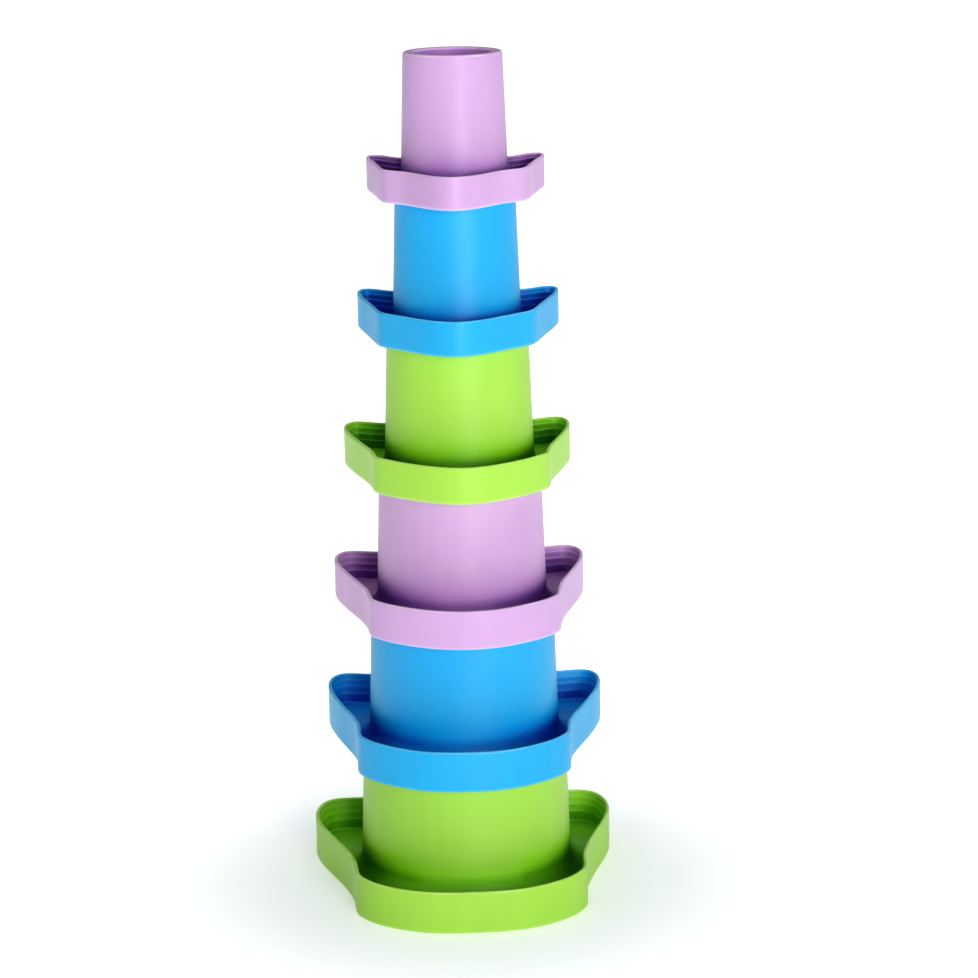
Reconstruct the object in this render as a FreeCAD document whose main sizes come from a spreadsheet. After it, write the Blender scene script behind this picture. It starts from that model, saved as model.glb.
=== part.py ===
import FreeCAD, Part
import math, os

# Six nesting cups stacked closed end up. Millimetres, +Z up, origin at the
# middle of the footprint, at the level the bottom cup stands on. The front
# lobe of the bottom cup points towards -Y.

os.makedirs("parts", exist_ok=True)
doc = FreeCAD.newDocument("cup_tower")
sheet = doc.addObject("Spreadsheet::Sheet", "Dims")
row = [1]


def put(alias, value):
    cell = "A%d" % row[0]
    sheet.set(cell, str(value))
    sheet.setAlias(cell, alias)
    row[0] += 1


# sizes shared by all cups
put("pitch", 54.5)          # height gained by each cup in the stack
put("floor_under", 1.2)     # underside of the flange above the skirt's lower edge
put("floor_thick", 2.2)     # flange thickness
put("wall_body", 1.6)
put("wall_skirt", 1.5)      # skirt wall at the rim
put("ledge_step", 0.3)      # each inner ledge thickens the skirt by this
put("draft_slope", 0.034)   # radius lost per mm of height
put("ring_width", 4.0)      # foot ring round the closed end
put("recess_deep", 4.5)
put("roof_thick", 1.8)
put("ring_round", 0.9)
put("rim_round", 0.6)
put("seat_gap", 0.35)       # between a cup's foot ring and the rib that locates the next cup
put("rib_wide", 1.2)
put("axis_y", 8.3)          # tower axis behind the middle of the footprint

# per cup: radius at mid height, overall height, skirt height, foot flare radius, twist in the stack
CUPS = {
    1: {"label": "cup_1_top", "radius": 19.42, "tall": 54.6, "skirt": 12.50, "flare": 6.0, "twist": -3.7},
    2: {"label": "cup_2", "radius": 23.68, "tall": 55.6, "skirt": 13.30, "flare": 6.4, "twist": -3.7},
    3: {"label": "cup_3", "radius": 28.00, "tall": 55.6, "skirt": 14.10, "flare": 6.8, "twist": -1.0},
    4: {"label": "cup_4", "radius": 32.20, "tall": 55.6, "skirt": 14.90, "flare": 7.2, "twist": -0.7},
    5: {"label": "cup_5", "radius": 36.45, "tall": 55.6, "skirt": 15.70, "flare": 7.6, "twist": -3.2},
    6: {"label": "cup_6_base", "radius": 40.75, "tall": 55.6, "skirt": 16.50, "flare": 8.0, "twist": 0.0},
}
# half outline of each skirt, front centre round to rear centre, as spline poles
POLES = {
    1: [(0.0, -42.0), (9.5, -35.5), (17.0, -24.5), (22.5, -20.0), (27.3, -17.5), (29.3, -5.0), (31.8, 8.0), (34.6, 20.0), (34.4, 28.2), (27.4, 27.6), (20.6, 14.6), (13.0, 24.0), (0.0, 28.0)],
    2: [(0.0, -42.7), (11.5, -36.5), (21.0, -26.0), (28.3, -20.0), (30.6, -14.0), (33.0, -2.5), (36.6, 11.5), (39.6, 24.5), (39.6, 35.0), (33.4, 36.4), (26.3, 28.0), (14.5, 29.0), (0.0, 31.0)],
    3: [(0.0, -49.5), (12.1, -45.2), (24.2, -35.9), (28.3, -31.4), (32.1, -27.4), (33.8, -23.6), (34.0, -18.9), (35.3, -11.7), (38.8, -0.2), (44.2, 18.4), (45.2, 31.5), (42.6, 37.9), (38.0, 39.0), (28.9, 33.1), (15.4, 33.9), (0.0, 34.9)],
    4: [(0.0, -55.4), (14.2, -52.6), (28.1, -43.1), (32.9, -37.8), (36.4, -33.2), (36.9, -28.5), (37.4, -23.4), (38.6, -15.5), (42.6, -2.8), (49.0, 17.8), (50.5, 32.1), (46.9, 39.8), (41.9, 41.3), (32.3, 37.1), (17.0, 37.6), (0.0, 38.7)],
    5: [(0.0, -59.9), (17.1, -58.5), (32.0, -48.2), (37.2, -42.0), (40.9, -36.2), (41.4, -30.0), (41.2, -23.8), (43.0, -15.2), (47.5, -2.1), (54.0, 19.0), (55.8, 34.9), (53.1, 43.9), (47.7, 46.5), (38.1, 43.4), (20.1, 43.0), (0.0, 43.1)],
    6: [(0.0, -65.2), (19.2, -64.8), (35.8, -54.9), (41.2, -48.3), (44.9, -42.0), (45.3, -35.0), (45.4, -27.8), (47.4, -17.7), (52.1, -2.7), (60.1, 19.4), (60.1, 35.6), (55.9, 45.3), (49.9, 48.4), (37.7, 47.4), (20.3, 46.7), (0.0, 46.7)],
}

for n in CUPS:
    put("c%d_radius" % n, CUPS[n]["radius"])
    put("c%d_tall" % n, CUPS[n]["tall"])
    put("c%d_skirt" % n, CUPS[n]["skirt"])
    put("c%d_flare" % n, CUPS[n]["flare"])
    put("c%d_twist" % n, CUPS[n]["twist"])
    for i, (px, py) in enumerate(POLES[n]):
        put("c%d_px%d" % (n, i), px)
        put("c%d_py%d" % (n, i), py)
doc.recompute()


def val(alias):
    return float(sheet.get(alias))


# ---- outlines -------------------------------------------------------------

def spline_nodes(n, per_span=1):
    """Points and unit tangents on the closed cubic spline of cup n's skirt."""
    half = [(val("c%d_px%d" % (n, i)), val("c%d_py%d" % (n, i))) for i in range(len(POLES[n]))]
    poles = half + [(-x, y) for x, y in half[-2:0:-1]]
    count = len(poles)
    nodes = []
    for i in range(count):
        q = [poles[(i + k) % count] for k in (-1, 0, 1, 2)]
        for j in range(per_span):
            u = j / float(per_span)
            b = ((1 - u) ** 3 / 6, (3 * u ** 3 - 6 * u ** 2 + 4) / 6,
                 (-3 * u ** 3 + 3 * u ** 2 + 3 * u + 1) / 6, u ** 3 / 6)
            d = (-(1 - u) ** 2 / 2, (3 * u ** 2 - 4 * u) / 2,
                 (-3 * u ** 2 + 2 * u + 1) / 2, u ** 2 / 2)
            x = sum(w * p[0] for w, p in zip(b, q))
            y = sum(w * p[1] for w, p in zip(b, q))
            tx = sum(w * p[0] for w, p in zip(d, q))
            ty = sum(w * p[1] for w, p in zip(d, q))
            size = math.hypot(tx, ty)
            nodes.append((x, y, tx / size, ty / size))
    return nodes


def biarc(a, b):
    """Two tangent arcs from node a to node b: list of (start, joint, tangent)."""
    vx, vy = b[0] - a[0], b[1] - a[1]
    tx, ty = a[2] + b[2], a[3] + b[3]
    vv = vx * vx + vy * vy
    vt = vx * tx + vy * ty
    tt = a[2] * b[2] + a[3] * b[3]
    den = 2 * (1 - tt)
    if abs(den) < 1e-9:
        d = vv / (2 * (vx * b[2] + vy * b[3]))
    else:
        d = (-vt + math.sqrt(vt * vt + den * vv)) / den
    mx = (a[0] + d * a[2] + b[0] - d * b[2]) / 2
    my = (a[1] + d * a[3] + b[1] - d * b[3]) / 2
    # tangent at the joint: along the line between the two control points
    jx = (b[0] - d * b[2]) - (a[0] + d * a[2])
    jy = (b[1] - d * b[3]) - (a[1] + d * a[3])
    size = math.hypot(jx, jy)
    return [a, (mx, my, jx / size, jy / size)]


def outline(n, inset, z):
    """Closed face of cup n's outline, moved inwards by inset, at height z."""
    nodes = spline_nodes(n)
    chain = []
    for i, a in enumerate(nodes):
        chain += biarc(a, nodes[(i + 1) % len(nodes)])
    edges = []
    count = len(chain)
    pts = [(p[0] - p[3] * inset, p[1] + p[2] * inset, p[2], p[3]) for p in chain]
    for i in range(count):
        p, q = pts[i], pts[(i + 1) % count]
        # middle point of the arc that leaves p along its tangent and reaches q
        cx, cy = q[0] - p[0], q[1] - p[1]
        chord = math.hypot(cx, cy)
        cross = p[2] * cy - p[3] * cx
        dot = p[2] * cx + p[3] * cy
        half = math.atan2(cross, dot)
        a3 = FreeCAD.Vector(p[0], p[1], z)
        b3 = FreeCAD.Vector(q[0], q[1], z)
        if abs(half) < 1e-4:
            edges.append(Part.LineSegment(a3, b3).toShape())
        else:
            sag = chord / 2 * math.tan(half / 2)
            nx, ny = cy / chord, -cx / chord
            m3 = FreeCAD.Vector((p[0] + q[0]) / 2 + nx * sag, (p[1] + q[1]) / 2 + ny * sag, z)
            edges.append(Part.Arc(a3, m3, b3).toShape())
    wire = Part.Wire(edges)
    face = Part.Face(wire)
    if face.normalAt(0, 0).z < 0:
        face.reverse()
    return face


def feature(name, shape):
    obj = doc.addObject("Part::Feature", name)
    obj.Shape = shape
    return obj


def prism(name, face_obj, expression):
    ext = doc.addObject("Part::Extrusion", name)
    ext.Base = face_obj
    ext.DirMode = "Custom"
    ext.Dir = FreeCAD.Vector(0, 0, 1)
    ext.Solid = True
    ext.setExpression("LengthFwd", expression)
    return ext


def cone(name, low, high, height, z):
    c = doc.addObject("Part::Cone", name)
    c.setExpression("Radius1", low)
    c.setExpression("Radius2", high)
    c.setExpression("Height", height)
    c.setExpression("Placement.Base.z", z)
    return c


def cylinder(name, radius, height, z):
    c = doc.addObject("Part::Cylinder", name)
    c.setExpression("Radius", radius)
    c.setExpression("Height", height)
    c.setExpression("Placement.Base.z", z)
    return c


def cut(name, base, tool):
    c = doc.addObject("Part::Cut", name)
    c.Base = base
    c.Tool = tool
    return c


def fuse(name, shapes):
    c = doc.addObject("Part::MultiFuse", name)
    c.Shapes = shapes
    return c


def rounded(name, base, radius, keep):
    """Fillet the edges of base that keep() picks."""
    doc.recompute()
    picked = [i + 1 for i, e in enumerate(base.Shape.Edges) if keep(e)]
    f = doc.addObject("Part::Fillet", name)
    f.Base = base
    for share in (1.0, 0.93, 0.86, 0.77, 0.65):
        f.Edges = [(i, radius * share, radius * share) for i in picked]
        doc.recompute()
        if not f.Shape.isNull() and f.Shape.isValid() and f.Shape.Volume < base.Shape.Volume:
            return f
    print("rounding dropped on", name)
    doc.removeObject(name)
    doc.recompute()
    return base


def flat_at(edge, z):
    box = edge.BoundBox
    return abs(box.ZMin - z) < 1e-4 and abs(box.ZMax - z) < 1e-4


pitch = val("pitch")
under = val("floor_under")
thick = val("floor_thick")
top_of_floor = under + thick
made = []

for n in CUPS:
    c = "Dims.c%d_" % n
    k = "c%d_" % n
    skirt = val(k + "skirt")
    tall = val(k + "tall")
    wall = val("wall_skirt")
    step = val("ledge_step")
    inner = skirt - top_of_floor
    ledge_a = skirt - inner / 3.0
    ledge_b = skirt - 2.0 * inner / 3.0

    # skirt: outer prism less three stepped insides and the hollow underneath
    outer = prism(k + "outer", feature(k + "face_outer", outline(n, 0.0, 0.0)), c + "skirt")
    steps = []
    for i, (inset, z) in enumerate(((wall, ledge_a), (wall + step, ledge_b), (wall + 2 * step, top_of_floor))):
        steps.append(prism(k + "inside%d" % i, feature(k + "face_in%d" % i, outline(n, inset, z)), c + "skirt"))
    steps.append(prism(k + "below", feature(k + "face_below", outline(n, wall, -1.0)), "Dims.floor_under + 1"))
    tray = cut(k + "tray", outer, fuse(k + "hollows", steps))
    tray = rounded(k + "rim", tray, val("rim_round"), lambda e, z=skirt: flat_at(e, z))

    # round body with its flared foot, closed end and foot ring
    radius_low = c + "radius + Dims.draft_slope * (35 - Dims.floor_under)"
    radius_top = c + "radius + Dims.draft_slope * (35 - " + c + "tall)"
    shell = cone(k + "shell", radius_low, radius_top, c + "tall - Dims.floor_under", "Dims.floor_under")
    recess = cylinder(k + "recess", radius_top + " - Dims.ring_width", "Dims.recess_deep + 1",
                      c + "tall - Dims.recess_deep")
    capped = cut(k + "capped", shell, recess)
    capped = rounded(k + "ring", capped, val("ring_round"), lambda e, z=tall: flat_at(e, z))
    foot = cylinder(k + "foot_block", c + "radius + Dims.draft_slope * 31 + " + c + "flare", c + "flare + 0.3",
                    "Dims.floor_under + Dims.floor_thick - 0.6")
    hollow = doc.addObject("Part::Torus", k + "foot_hollow")
    hollow.setExpression("Radius1", c + "radius + Dims.draft_slope * 25 - 0.08 + " + c + "flare")
    hollow.setExpression("Radius2", c + "flare")
    hollow.setExpression("Placement.Base.z", "Dims.floor_under + Dims.floor_thick - 0.05 + " + c + "flare")
    flared = cut(k + "foot_flare", foot, hollow)
    trimmed = doc.addObject("Part::Common", k + "foot")
    trimmed.Base = flared
    trimmed.Tool = prism(k + "trim", feature(k + "face_trim", outline(n, 0.05, 0.0)), c + "skirt")

    # rib under the flange that goes round the foot ring of the cup below
    ring_below = c + "radius + 4.266 + Dims.draft_slope * (35 - Dims.pitch - Dims.floor_under)"
    rib_out = cylinder(k + "rib_out", ring_below + " + Dims.seat_gap + Dims.rib_wide", "Dims.floor_under + 0.5", "0.2")
    rib_in = cylinder(k + "rib_in", ring_below + " + Dims.seat_gap", "Dims.floor_under + 3", "-1")
    rib = cut(k + "rib", rib_out, rib_in)

    solid = fuse(k + "solid", [tray, capped, trimmed, rib])
    # cavity from the mouth up to the closed end
    cavity = cone(k + "cavity", c + "radius + Dims.draft_slope * 36 - Dims.wall_body",
                  c + "radius + Dims.draft_slope * (35 - " + c + "tall + Dims.recess_deep + Dims.roof_thick) - Dims.wall_body",
                  c + "tall - Dims.recess_deep - Dims.roof_thick + 1", "-1")
    cup = cut(k + "cup", solid, cavity)
    cup.Label = CUPS[n]["label"]
    cup.setExpression("Placement.Base.y", "Dims.axis_y")
    cup.setExpression("Placement.Base.z", "Dims.pitch * %d" % (6 - n))
    cup.setExpression("Placement.Rotation.Angle", c + "twist")
    made.append(cup)

doc.recompute()

bad = 0
for obj in doc.Objects:
    if "Invalid" in obj.State or "Error" in obj.State:
        print("BAD", obj.Name, obj.State)
        bad += 1
for cup in made:
    s = cup.Shape
    ok = (not s.isNull()) and s.isValid() and len(s.Solids) == 1
    print(cup.Label, "solids", len(s.Solids), "valid", s.isValid(), "volume", round(s.Volume, 1), "faces", len(s.Faces))
    if not ok:
        bad += 1
    s.exportStep("parts/%s.step" % cup.Label)
if bad:
    raise SystemExit("%d problems" % bad)
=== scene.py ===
import math

import bpy
import numpy as np
from mathutils import Matrix, Vector


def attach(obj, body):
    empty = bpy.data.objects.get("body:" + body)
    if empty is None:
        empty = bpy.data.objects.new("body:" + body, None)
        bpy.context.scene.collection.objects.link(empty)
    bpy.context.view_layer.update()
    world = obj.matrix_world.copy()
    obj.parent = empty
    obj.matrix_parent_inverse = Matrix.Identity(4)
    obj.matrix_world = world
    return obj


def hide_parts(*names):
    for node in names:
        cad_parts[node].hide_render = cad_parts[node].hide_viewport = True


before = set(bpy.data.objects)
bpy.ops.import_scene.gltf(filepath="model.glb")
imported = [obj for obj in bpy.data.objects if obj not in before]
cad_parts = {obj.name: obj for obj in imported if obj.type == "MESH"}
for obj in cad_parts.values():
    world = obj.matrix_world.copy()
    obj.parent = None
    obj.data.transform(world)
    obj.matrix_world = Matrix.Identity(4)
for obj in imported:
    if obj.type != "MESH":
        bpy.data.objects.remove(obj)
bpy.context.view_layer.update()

# ---------------------------------------------------------------------------
# Sizes of the six cups in millimetres, the same as in the CAD part. A pole
# list is half of a skirt's outline, front centre round to rear centre.
# ---------------------------------------------------------------------------
PITCH = 54.5
UNDER = 1.2
FLOOR = 3.4
WALL_BODY = 1.6
SLOPE = 0.034
RING = 4.0
RECESS = 4.5
ROOF = 1.8
AXIS_Y = 8.3
AROUND = 240

CUPS = {
    1: {"node": "cup_1_top", "body": "level_1", "slot": "lilac", "radius": 19.42, "tall": 54.6, "skirt": 12.50, "flare": 6.0, "twist": -3.7,
        "poles": [(0.0, -42.0), (9.5, -35.5), (17.0, -24.5), (22.5, -20.0), (27.3, -17.5), (29.3, -5.0), (31.8, 8.0), (34.6, 20.0), (34.4, 28.2), (27.4, 27.6), (20.6, 14.6), (13.0, 24.0), (0.0, 28.0)]},
    2: {"node": "cup_2", "body": "level_2", "slot": "blue", "radius": 23.68, "tall": 55.6, "skirt": 13.30, "flare": 6.4, "twist": -3.7,
        "poles": [(0.0, -42.7), (11.5, -36.5), (21.0, -26.0), (28.3, -20.0), (30.6, -14.0), (33.0, -2.5), (36.6, 11.5), (39.6, 24.5), (39.6, 35.0), (33.4, 36.4), (26.3, 28.0), (14.5, 29.0), (0.0, 31.0)]},
    3: {"node": "cup_3", "body": "level_3", "slot": "green", "radius": 28.00, "tall": 55.6, "skirt": 14.10, "flare": 6.8, "twist": -1.0,
        "poles": [(0.0, -49.5), (12.1, -45.2), (24.2, -35.9), (28.3, -31.4), (32.1, -27.4), (33.8, -23.6), (34.0, -18.9), (35.3, -11.7), (38.8, -0.2), (44.2, 18.4), (45.2, 31.5), (42.6, 37.9), (38.0, 39.0), (28.9, 33.1), (15.4, 33.9), (0.0, 34.9)]},
    4: {"node": "cup_4", "body": "level_4", "slot": "lilac", "radius": 32.20, "tall": 55.6, "skirt": 14.90, "flare": 7.2, "twist": -0.7,
        "poles": [(0.0, -55.4), (14.2, -52.6), (28.1, -43.1), (32.9, -37.8), (36.4, -33.2), (36.9, -28.5), (37.4, -23.4), (38.6, -15.5), (42.6, -2.8), (49.0, 17.8), (50.5, 32.1), (46.9, 39.8), (41.9, 41.3), (32.3, 37.1), (17.0, 37.6), (0.0, 38.7)]},
    5: {"node": "cup_5", "body": "level_5", "slot": "blue", "radius": 36.45, "tall": 55.6, "skirt": 15.70, "flare": 7.6, "twist": -3.2,
        "poles": [(0.0, -59.9), (17.1, -58.5), (32.0, -48.2), (37.2, -42.0), (40.9, -36.2), (41.4, -30.0), (41.2, -23.8), (43.0, -15.2), (47.5, -2.1), (54.0, 19.0), (55.8, 34.9), (53.1, 43.9), (47.7, 46.5), (38.1, 43.4), (20.1, 43.0), (0.0, 43.1)]},
    6: {"node": "cup_6_base", "body": "base", "slot": "green", "radius": 40.75, "tall": 55.6, "skirt": 16.50, "flare": 8.0, "twist": 0.0,
        "poles": [(0.0, -65.2), (19.2, -64.8), (35.8, -54.9), (41.2, -48.3), (44.9, -42.0), (45.3, -35.0), (45.4, -27.8), (47.4, -17.7), (52.1, -2.7), (60.1, 19.4), (60.1, 35.6), (55.9, 45.3), (49.9, 48.4), (37.7, 47.4), (20.3, 46.7), (0.0, 46.7)]},
}


def spline(poles, per_span=48):
    """Closed uniform cubic B-spline through mirrored poles, as dense points."""
    half = np.array(poles, float)
    x = np.concatenate([half[:, 0], -half[-2:0:-1, 0]])
    y = np.concatenate([half[:, 1], half[-2:0:-1, 1]])
    u = np.arange(per_span) / per_span
    b = np.stack([(1 - u) ** 3, 3 * u ** 3 - 6 * u ** 2 + 4, -3 * u ** 3 + 3 * u ** 2 + 3 * u + 1, u ** 3], 1) / 6
    n = len(x)
    px = np.concatenate([b @ x[[(i - 1) % n, i, (i + 1) % n, (i + 2) % n]] for i in range(n)])
    py = np.concatenate([b @ y[[(i - 1) % n, i, (i + 1) % n, (i + 2) % n]] for i in range(n)])
    return px, py


def evenly(px, py, count):
    """The closed curve sampled at even steps of its length, with its inward normals."""
    qx, qy = np.append(px, px[0]), np.append(py, py[0])
    s = np.concatenate([[0], np.cumsum(np.hypot(np.diff(qx), np.diff(qy)))])
    t = np.arange(count) / count * s[-1]
    x, y = np.interp(t, s, qx), np.interp(t, s, qy)
    dx = np.roll(x, -1) - np.roll(x, 1)
    dy = np.roll(y, -1) - np.roll(y, 1)
    size = np.hypot(dx, dy)
    return x, y, -dy / size, dx / size


def cup_mesh(n):
    c = CUPS[n]
    tall, skirt, flare = c["tall"], c["skirt"], c["flare"]

    def body_r(z):
        return c["radius"] + SLOPE * (35.0 - z)

    sx, sy = spline(c["poles"])
    k0 = int(np.argmin(np.hypot(sx, sy - sy.min())))
    sx, sy = np.roll(sx, -k0), np.roll(sy, -k0)
    ox, oy, nx, ny = evenly(sx, sy, AROUND)
    # the directions round the body that belong to the outline's points
    raw = np.unwrap(np.arctan2(oy, ox))
    step = np.diff(np.append(raw, raw[0] + 2 * math.pi))
    even = 2 * math.pi / AROUND
    step = np.maximum(step, 0.22 * even)
    for _ in range(12):
        step = 0.5 * step + 0.25 * (np.roll(step, 1) + np.roll(step, -1))
    step *= 2 * math.pi / step.sum()
    theta = raw[0] + np.concatenate([[0], np.cumsum(step)[:-1]])
    ct, st = np.cos(theta), np.sin(theta)
    rings, worn_and_lit = [], []    # how much each ring's edge is rubbed and worn lighter, which is also a painted highlight on ring top, rim and ledges

    def add(x, y, z, w=0.0):
        rings.append((x, y, z))
        worn_and_lit.append(w)

    def circle(r, z, w=0.0):
        add(r * ct, r * st, np.full(AROUND, float(z)), w)

    def inset(d, z, w=0.0):
        add(ox + nx * d, oy + ny * d, np.zeros(AROUND) + z, w)

    def arc(cr, cz, rad, a0, a1, count, w=0.0):
        for k in range(count + 1):
            a = math.radians(a0 + (a1 - a0) * k / count)
            circle(cr + rad * math.cos(a), cz + rad * math.sin(a), w * math.sin(math.pi * k / count))

    # closed end: recess floor with a small moulding gate, recess wall, ring
    z0 = tall - RECESS
    outer_r = body_r(tall)
    inner_r = outer_r - RING
    for r, dz in ((0.45, 0.42), (0.75, 0.36), (0.9, 0.12), (1.9, 0.1), (2.3, 0.08), (2.6, 0.0)):
        circle(r, z0 + dz)
    for r in np.linspace(3.4, inner_r - 0.95, 6):
        circle(r, z0)
    arc(inner_r - 0.7, z0 + 0.7, 0.7, -90, 0, 5)
    for z in np.linspace(z0 + 1.3, tall - 1.2, 3):
        circle(inner_r, z)
    # the ring top's edges take the lighter edge colour: wear and a painted highlight
    arc(inner_r + 0.9, tall - 0.9, 0.9, 180, 90, 7, 0.8)
    circle((inner_r + outer_r) / 2, tall, 0.25)
    arc(outer_r - 0.9, tall - 0.9, 0.9, 90, 2, 8, 1.0)

    # body down to the flared foot
    start = FLOOR + flare
    for z in np.linspace(tall - 1.9, start + 0.6, 16):
        circle(body_r(z), z)
    foot_r = body_r(start)
    corner = 0.8 if n > 2 else 0.45
    fx, fy = ox + nx * (2.1 + corner), oy + ny * (2.1 + corner)
    room = np.hypot(fx, fy) - foot_r
    reach = flare * np.minimum(1.0, 0.9 * room / flare)

    def lift(x, y):
        d = np.clip(np.hypot(x, y) - foot_r, 0.0, flare)
        return flare - np.sqrt(np.maximum(flare ** 2 - (flare - d) ** 2, 0.0))

    bx, by = foot_r * ct, foot_r * st
    for k in range(13):
        a = math.radians(90.0 * k / 12)
        s = np.minimum(reach * (1 - math.cos(a)) / room, 1.0)
        x, y = bx + s * (fx - bx), by + s * (fy - by)
        # keep the flare round: move each point to the radius it should have
        want = foot_r + reach * (1 - math.cos(a))
        have = np.hypot(x, y)
        x, y = x * want / have, y * want / have
        add(x, y, FLOOR + lift(x, y))
    lx, ly, _ = rings[-1]
    for k in range(1, 8):
        s = k / 7.0
        x, y = lx + s * (fx - lx), ly + s * (fy - ly)
        add(x, y, FLOOR + lift(x, y))
    base_z = FLOOR + lift(fx, fy)

    # inside of the skirt: small corner radius, then three thin ledges
    for k in range(1, 5):
        a = math.radians(90.0 * k / 4)
        inset(2.1 + corner * (1 - math.sin(a)), base_z + corner * (1 - math.cos(a)))
    inner_h = skirt - FLOOR
    levels = [FLOOR + inner_h * f for f in (0.34, 0.58, 0.80)]
    depths = [2.1, 1.87, 1.66, 1.45]
    for z, d0, d1 in zip(levels, depths[:-1], depths[1:]):
        inset(d0, z - 0.9)
        inset(d0, z - 0.12)
        # the ledge lips take a little of the lighter edge colour: wear and a painted highlight
        inset(d0 - 0.04, z, 0.25)
        inset(d1 + 0.05, z + 0.05, 0.05)
        inset(d1, z + 0.2)
    # rolled rim, outer wall, lower edge
    # the rim top takes the full lighter edge colour: wear and a painted highlight
    half = 0.725
    for k in range(11):
        a = math.radians(180.0 * k / 10)
        inset(half + half * math.cos(a), skirt - half + half * math.sin(a), math.sin(a))
    for z in np.linspace(skirt - half - 0.5, 1.2, 6):
        inset(0.0, z)
    for k in range(1, 5):
        a = math.radians(90.0 * k / 4)
        inset(0.45 - 0.45 * math.cos(a), 0.45 - 0.45 * math.sin(a), 0.7 * math.sin(a))
    for k in range(0, 4):
        a = math.radians(90.0 * k / 3)
        inset(1.1 + 0.4 * math.sin(a), 0.4 - 0.4 * math.cos(a))
    inset(1.5, UNDER - 0.1)
    inset(1.6, UNDER)

    # underside of the flange in to the rib, the rib, the mouth
    rib_in = c["radius"] + 4.266 + SLOPE * (35.0 - 55.7) + 0.35
    rib_out = rib_in + 1.2
    gx, gy, _ = rings[-1]
    hx, hy = (rib_out + 0.12) * ct, (rib_out + 0.12) * st
    for k in range(1, 6):
        s = k / 5.0
        add(gx + s * (hx - gx), gy + s * (hy - gy), np.full(AROUND, UNDER))
    circle(rib_out, UNDER - 0.12)
    circle(rib_out, 0.45)
    circle(rib_out - 0.25, 0.2)
    circle(rib_in + 0.25, 0.2)
    circle(rib_in, 0.45)
    circle(rib_in, UNDER - 0.1)
    circle(rib_in - 0.1, UNDER)
    mouth = body_r(UNDER) - WALL_BODY
    circle((rib_in + mouth) / 2, UNDER)
    circle(mouth + 0.35, UNDER)
    circle(mouth + 0.1, UNDER + 0.1)
    roof = tall - RECESS - ROOF
    for z in np.linspace(UNDER + 0.4, roof - 1.4, 14):
        circle(body_r(z) - WALL_BODY, z)
    arc(body_r(roof) - WALL_BODY - 0.9, roof - 0.9, 0.9, 0, 90, 5)
    for r in np.linspace(body_r(roof) - WALL_BODY - 2.6, 2.0, 5):
        circle(r, roof)

    # twist and place
    tw = math.radians(c["twist"])
    cs, sn = math.cos(tw), math.sin(tw)
    up = PITCH * (6 - n)
    verts = [(0.0, AXIS_Y, up + z0 + 0.44)]
    for x, y, z in rings:
        X, Y = x * cs - y * sn, x * sn + y * cs + AXIS_Y
        verts.extend(zip(X.tolist(), Y.tolist(), (z + up).tolist()))
    verts.append((0.0, AXIS_Y, up + roof))
    faces = []
    last = len(verts) - 1
    for i in range(AROUND):
        j = (i + 1) % AROUND
        faces.append((0, 1 + i, 1 + j))
        end = 1 + (len(rings) - 1) * AROUND
        faces.append((last, end + j, end + i))
    for r in range(len(rings) - 1):
        a, b = 1 + r * AROUND, 1 + (r + 1) * AROUND
        for i in range(AROUND):
            j = (i + 1) % AROUND
            faces.append((a + i, b + i, b + j, a + j))
    me = bpy.data.meshes.new("moulding_%d" % n)
    me.from_pydata([(x / 1000, y / 1000, z / 1000) for x, y, z in verts], [], faces)
    rub_and_highlight = me.attributes.new("rub_and_highlight", "FLOAT", "POINT")
    rub_and_highlight.data.foreach_set("value", np.concatenate([[0.0], np.repeat(worn_and_lit, AROUND), [0.0]]).astype(np.float32))
    me.update()
    me.polygons.foreach_set("use_smooth", [True] * len(me.polygons))
    me.set_sharp_from_angle(angle=math.radians(50))
    ob = bpy.data.objects.new("moulded_" + c["node"], me)
    bpy.context.scene.collection.objects.link(ob)
    return ob


# ---------------------------------------------------------------------------
# Moulded polypropylene
# ---------------------------------------------------------------------------

def lin(v):
    v = v / 255.0
    return v / 12.92 if v <= 0.04045 else ((v + 0.055) / 1.055) ** 2.4


def srgb(r, g, b):
    return (lin(r), lin(g), lin(b), 1.0)


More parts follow.
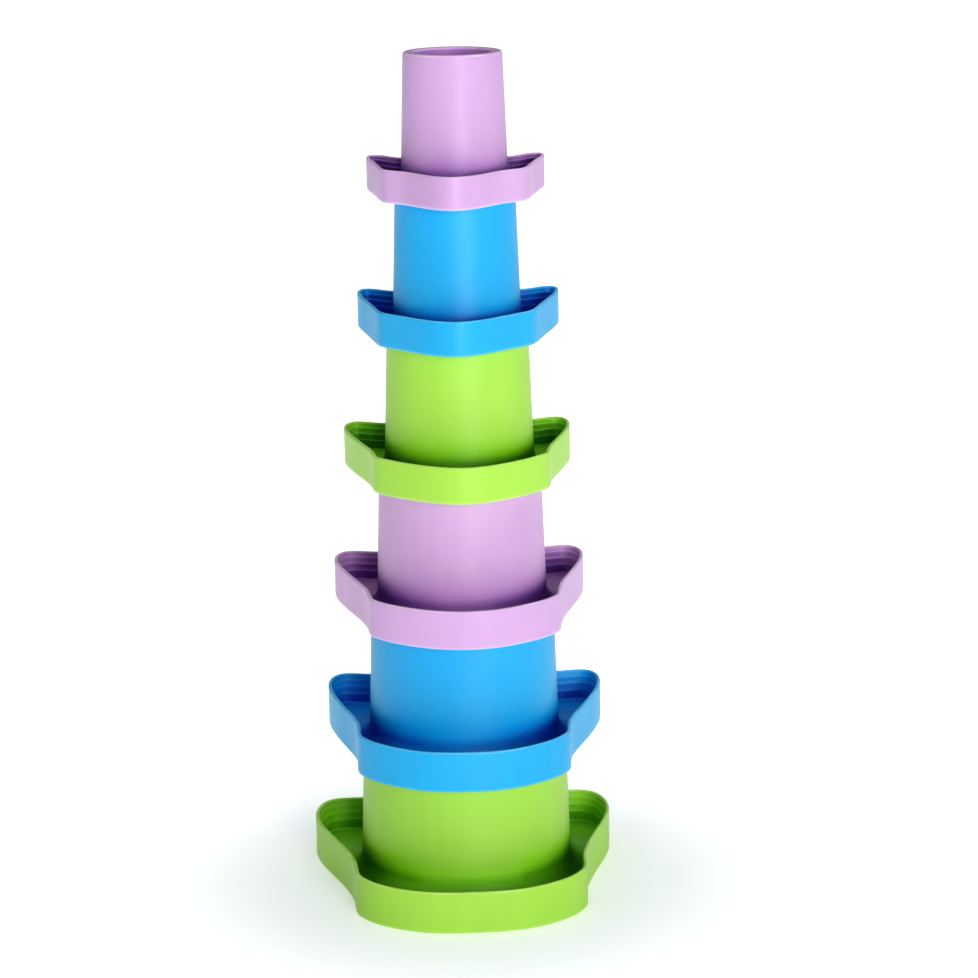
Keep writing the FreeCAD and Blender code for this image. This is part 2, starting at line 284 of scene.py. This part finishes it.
def plastic(name, base, deep, worn_and_lit, painted_bounce_tint, painted_shade_tint, seed):
    mat = bpy.data.materials.new(name)
    mat.use_nodes = True
    nt = mat.node_tree
    nodes, links = nt.nodes, nt.links
    bsdf = next(k for k in nodes if k.type == "BSDF_PRINCIPLED")
    coord = nodes.new("ShaderNodeTexCoord")

    def noise(scale, detail=3.0, rough=0.5, stretch=None, shift=0.0):
        m = nodes.new("ShaderNodeMapping")
        m.inputs["Location"].default_value = (shift + seed, shift * 0.7, seed * 0.3)
        if stretch:
            m.inputs["Scale"].default_value = stretch
        links.new(coord.outputs["Object"], m.inputs["Vector"])
        t = nodes.new("ShaderNodeTexNoise")
        t.inputs["Scale"].default_value = scale
        t.inputs["Detail"].default_value = detail
        t.inputs["Roughness"].default_value = rough
        links.new(m.outputs["Vector"], t.inputs["Vector"])
        return t.outputs["Fac"]

    def remap(src, lo, hi, out_lo, out_hi):
        r = nodes.new("ShaderNodeMapRange")
        r.inputs["From Min"].default_value = lo
        r.inputs["From Max"].default_value = hi
        r.inputs["To Min"].default_value = out_lo
        r.inputs["To Max"].default_value = out_hi
        r.clamp = True
        links.new(src, r.inputs["Value"])
        return r.outputs["Result"]

    def math_node(op, a, b):
        m = nodes.new("ShaderNodeMath")
        m.operation = op
        for i, v in enumerate((a, b)):
            if isinstance(v, (int, float)):
                m.inputs[i].default_value = v
            else:
                links.new(v, m.inputs[i])
        return m.outputs["Value"]

    def mix(fac, a, b):
        m = nodes.new("ShaderNodeMix")
        m.data_type = "RGBA"
        links.new(fac, m.inputs["Factor"])
        for i, v in ((6, a), (7, b)):
            if isinstance(v, tuple):
                m.inputs[i].default_value = v
            else:
                links.new(v, m.inputs[i])
        return m.outputs[2]

    # colour: slow pigment clouds, faint flow lines up the wall, lighter edges that are partly wear and partly a
    # painted highlight
    clouds = remap(noise(38.0, 4.0, 0.55), 0.3, 0.7, 0.0, 0.5)
    flow = remap(noise(150.0, 2.0, 0.5, (1.0, 1.0, 0.12), 3.1), 0.35, 0.65, 0.0, 0.2)
    colour = mix(math_node("ADD", clouds, flow), base, deep)
    # painted shade and painted bounce light: hollows found by ambient occlusion turn a deeper, saturated tint,
    # and the deepest hollows a dark tint
    ao = nodes.new("ShaderNodeAmbientOcclusion")
    ao.samples = 8
    ao.only_local = True
    ao.inputs["Distance"].default_value = 0.024
    colour = mix(remap(ao.outputs["AO"], 0.52, 0.82, 0.95, 0.0), colour, painted_bounce_tint)
    # painted shade: the dark tint in the deepest hollows (inside the ears)
    colour = mix(remap(ao.outputs["AO"], 0.40, 0.545, 0.92, 0.0), colour, painted_shade_tint)
    # lighter edges: rubbed wear and also a painted highlight on the ring top, rim and ledges
    rub_and_highlight = nodes.new("ShaderNodeAttribute")
    rub_and_highlight.attribute_name = "rub_and_highlight"
    rub_highlight_patches = remap(noise(95.0, 5.0, 0.6, None, 7.7), 0.36, 0.6, 0.45, 1.0)
    wear_and_highlight = math_node("MULTIPLY", math_node("MULTIPLY", rub_and_highlight.outputs["Fac"], rub_highlight_patches), 0.95)
    colour = mix(wear_and_highlight, colour, worn_and_lit)
    links.new(colour, bsdf.inputs["Base Color"])

    # roughness: handled patches, fine scuffs that run round the wall, duller edges
    patches = remap(noise(30.0, 5.0, 0.6, None, 11.0), 0.3, 0.7, 0.38, 0.48)
    scuffs = remap(noise(420.0, 2.0, 0.5, (1.0, 1.0, 9.0), 5.0), 0.62, 0.72, 0.0, 0.10)
    rough = math_node("ADD", math_node("ADD", patches, scuffs), math_node("MULTIPLY", wear_and_highlight, 0.12))
    links.new(rough, bsdf.inputs["Roughness"])

    # relief: fine mould grain over a very slight waviness of the wall
    grain = noise(2600.0, 2.0, 0.5, None, 2.0)
    waves = noise(46.0, 2.0, 0.4, None, 9.0)
    b1 = nodes.new("ShaderNodeBump")
    b1.inputs["Strength"].default_value = 0.16
    b1.inputs["Distance"].default_value = 0.0012
    links.new(waves, b1.inputs["Height"])
    b2 = nodes.new("ShaderNodeBump")
    b2.inputs["Strength"].default_value = 0.10
    b2.inputs["Distance"].default_value = 0.00006
    links.new(grain, b2.inputs["Height"])
    links.new(b1.outputs["Normal"], b2.inputs["Normal"])
    links.new(b2.outputs["Normal"], bsdf.inputs["Normal"])

    bsdf.inputs["IOR"].default_value = 1.49
    bsdf.inputs["Specular IOR Level"].default_value = 0.42
    bsdf.inputs["Subsurface Weight"].default_value = 0.10
    bsdf.inputs["Subsurface Radius"].default_value = (1.0, 1.0, 1.0)
    bsdf.inputs["Subsurface Scale"].default_value = 0.0015
    return mat


# per plastic: base colour, pigment-cloud colour, lighter edge colour (wear and painted highlight), painted
# bounce-light tint and painted shade tint for hollows, seed
MATS = {
    "lilac": plastic("lilac_pp", srgb(206, 168, 214), srgb(198, 158, 207), srgb(250, 224, 255), srgb(222, 166, 236), srgb(84, 6, 140), 0.0),
    "blue": plastic("blue_pp", srgb(20, 172, 228), srgb(8, 164, 222), srgb(130, 222, 255), srgb(0, 184, 252), srgb(0, 30, 178), 1.7),
    "green": plastic("green_pp", srgb(168, 218, 80), srgb(160, 212, 70), srgb(216, 250, 146), srgb(156, 238, 12), srgb(12, 112, 0), 3.9),
}

for n in sorted(CUPS):
    c = CUPS[n]
    cup = cup_mesh(n)
    cup.data.materials.append(MATS[c["slot"]])
    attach(cup, c["body"])
    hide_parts(c["node"])

# ---------------------------------------------------------------------------
# Floor, light, camera
# ---------------------------------------------------------------------------

def floor_material():
    mat = bpy.data.materials.new("studio_floor")
    mat.use_nodes = True
    nt = mat.node_tree
    bsdf = next(k for k in nt.nodes if k.type == "BSDF_PRINCIPLED")
    coord = nt.nodes.new("ShaderNodeTexCoord")
    t = nt.nodes.new("ShaderNodeTexNoise")
    t.inputs["Scale"].default_value = 3.0
    nt.links.new(coord.outputs["Object"], t.inputs["Vector"])
    r = nt.nodes.new("ShaderNodeMapRange")
    r.inputs["To Min"].default_value = 0.5
    r.inputs["To Max"].default_value = 0.62
    nt.links.new(t.outputs["Fac"], r.inputs["Value"])
    nt.links.new(r.outputs["Result"], bsdf.inputs["Roughness"])
    bsdf.inputs["Base Color"].default_value = (0.90, 0.905, 0.91, 1.0)
    bsdf.inputs["Specular IOR Level"].default_value = 0.35
    bsdf.inputs["Emission Color"].default_value = (0.97, 0.99, 1.0, 1.0)
    # painted shade: the floor glows less near the middle, leaving a darker pool round the base, and glows a
    # little more away from it
    dist = nt.nodes.new("ShaderNodeVectorMath")
    dist.operation = "LENGTH"
    nt.links.new(coord.outputs["Object"], dist.inputs[0])
    g = nt.nodes.new("ShaderNodeMapRange")
    g.interpolation_type = "SMOOTHSTEP"
    g.inputs["From Min"].default_value = 0.05
    g.inputs["From Max"].default_value = 0.21
    g.inputs["To Min"].default_value = 0.30
    g.inputs["To Max"].default_value = 0.80
    nt.links.new(dist.outputs["Value"], g.inputs["Value"])
    nt.links.new(g.outputs["Result"], bsdf.inputs["Emission Strength"])
    return mat


me = bpy.data.meshes.new("floor")
ring = [(14.0 * math.cos(a), 14.0 * math.sin(a), 0.0) for a in np.linspace(0, 2 * math.pi, 96, endpoint=False)]
me.from_pydata(ring, [], [tuple(range(96))])
me.update()
floor = bpy.data.objects.new("floor", me)
bpy.context.scene.collection.objects.link(floor)
floor.data.materials.append(floor_material())

world = bpy.data.worlds.new("studio")
bpy.context.scene.world = world
world.use_nodes = True
back = next(k for k in world.node_tree.nodes if k.type == "BACKGROUND")
seen = world.node_tree.nodes.new("ShaderNodeLightPath")
glow = world.node_tree.nodes.new("ShaderNodeMapRange")
glow.inputs["To Min"].default_value = 0.15      # what lights the object
glow.inputs["To Max"].default_value = 0.97      # the pale backdrop past the floor
world.node_tree.links.new(seen.outputs["Is Camera Ray"], glow.inputs["Value"])
world.node_tree.links.new(glow.outputs["Result"], back.inputs["Strength"])
back.inputs["Color"].default_value = (0.97, 0.985, 1.0, 1.0)


def softbox(name, az, el, dist, width, height, power, target=(0.0, 0.0083, 0.15), tint=(1.0, 1.0, 1.0)):
    """Area light. az is measured from the viewer's side (-Y) towards +X, degrees."""
    a, e = math.radians(az), math.radians(el)
    pos = Vector(target) + dist * Vector((math.sin(a) * math.cos(e), -math.cos(a) * math.cos(e), math.sin(e)))
    data = bpy.data.lights.new(name, "AREA")
    data.shape = "RECTANGLE"
    data.size = width
    data.size_y = height
    data.energy = power
    data.color = tint
    ob = bpy.data.objects.new(name, data)
    ob.location = pos
    ob.rotation_euler = (Vector(target) - pos).to_track_quat("-Z", "Y").to_euler()
    bpy.context.scene.collection.objects.link(ob)
    return ob


softbox("key", 14.0, 11.0, 2.6, 1.0, 0.9, 32.0)
softbox("top", 0.0, 86.0, 2.2, 1.6, 1.6, 9.5)
softbox("fill_left", -62.0, 14.0, 1.8, 0.8, 1.0, 0.3)
softbox("fill_right", 74.0, 14.0, 1.8, 0.8, 1.0, 0.9)
softbox("rear", 180.0, 40.0, 2.2, 1.6, 1.2, 3.0)

# camera
YAW, PITCH_DOWN, ROLL = math.radians(-3.357), math.radians(13.741), math.radians(-0.907)
eye = Vector((-0.0557, -1.1319, 0.4369))
fwd = Vector((-math.sin(YAW) * math.cos(PITCH_DOWN), math.cos(YAW) * math.cos(PITCH_DOWN), -math.sin(PITCH_DOWN)))
right0 = Vector((math.cos(YAW), math.sin(YAW), 0.0))
up0 = right0.cross(fwd)
right = right0 * math.cos(ROLL) + up0 * math.sin(ROLL)
up = up0 * math.cos(ROLL) - right0 * math.sin(ROLL)
rot = Matrix((right, up, -fwd)).transposed()
cam_data = bpy.data.cameras.new("camera")
cam_data.sensor_width = 36.0
cam_data.sensor_fit = "HORIZONTAL"
cam_data.lens = 3027.0 * 36.0 / 978.0
cam_data.clip_start = 0.01
cam_data.clip_end = 60.0
cam = bpy.data.objects.new("camera", cam_data)
cam.matrix_world = Matrix.Translation(eye) @ rot.to_4x4()
bpy.context.scene.collection.objects.link(cam)
bpy.context.scene.camera = cam

vs = bpy.context.scene.view_settings
vs.view_transform = "Standard"
vs.look = "Medium High Contrast"
vs.exposure = 0.0
vs.gamma = 1.0
